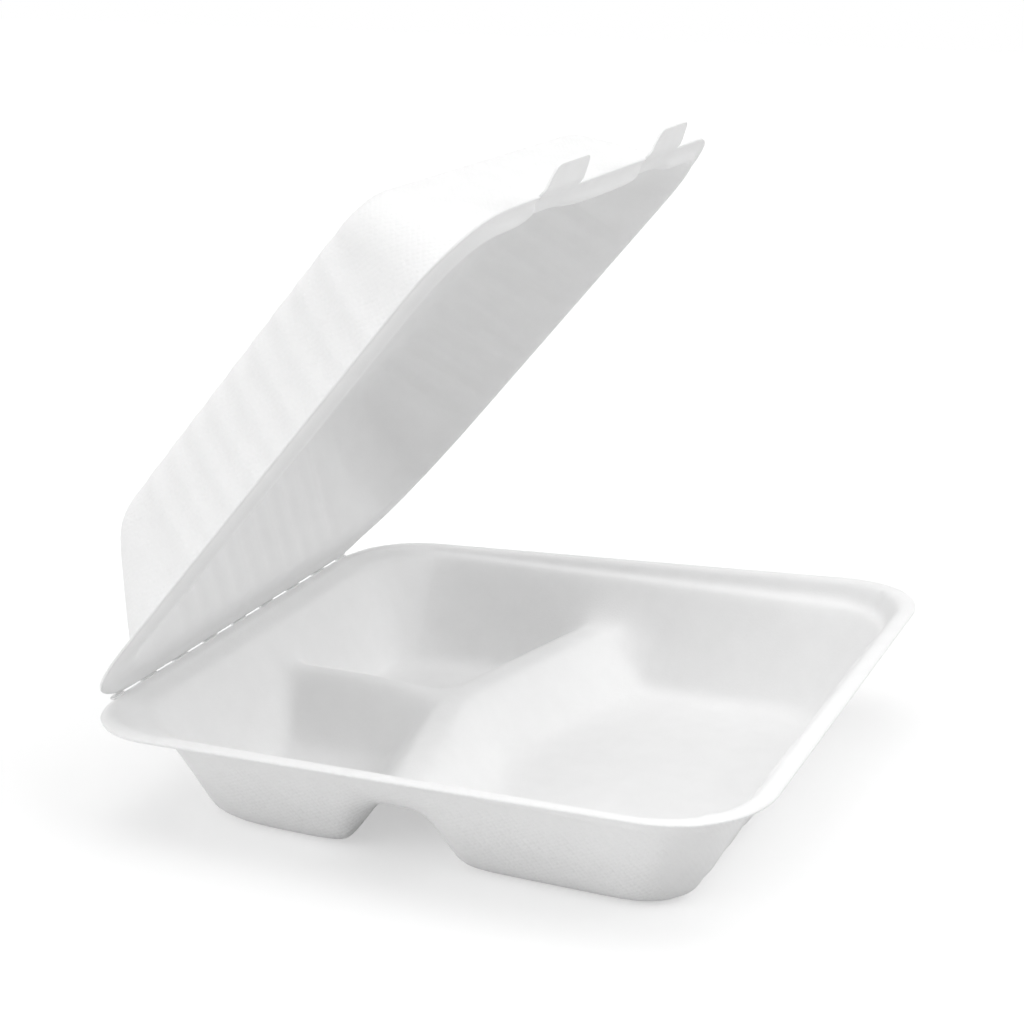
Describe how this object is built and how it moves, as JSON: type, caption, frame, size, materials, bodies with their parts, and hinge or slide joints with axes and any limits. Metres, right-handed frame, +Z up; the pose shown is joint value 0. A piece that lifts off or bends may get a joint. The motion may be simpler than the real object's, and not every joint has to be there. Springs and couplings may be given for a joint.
{
  "type": "clamshell food container",
  "caption": "Hinged moulded pulp clamshell with three compartments in the tray and a deep fluted lid that stands half open.",
  "frame": {"origin": "middle of the large well's floor, on the plane the tray stands on", "axes": "+X along the fold, +Y from the tray back to the fold, +Z up"},
  "size_m": [0.2352, 0.2305, 0.2195],
  "materials": {
    "pulp_tray": "matte",
    "pulp_lid": "matte"
  },
  "bodies": {
    "tray": {"tray": "pulp_tray"},
    "lid": {"lid": "pulp_lid"}
  },
  "joints": [
    {"name": "lid_fold", "type": "hinge", "parent": "tray", "child": "lid", "pos_m": [0, 0.15, 0.0392], "axis": [-1, 0, 0], "range_deg": [-47.9, 130]}
  ]
}
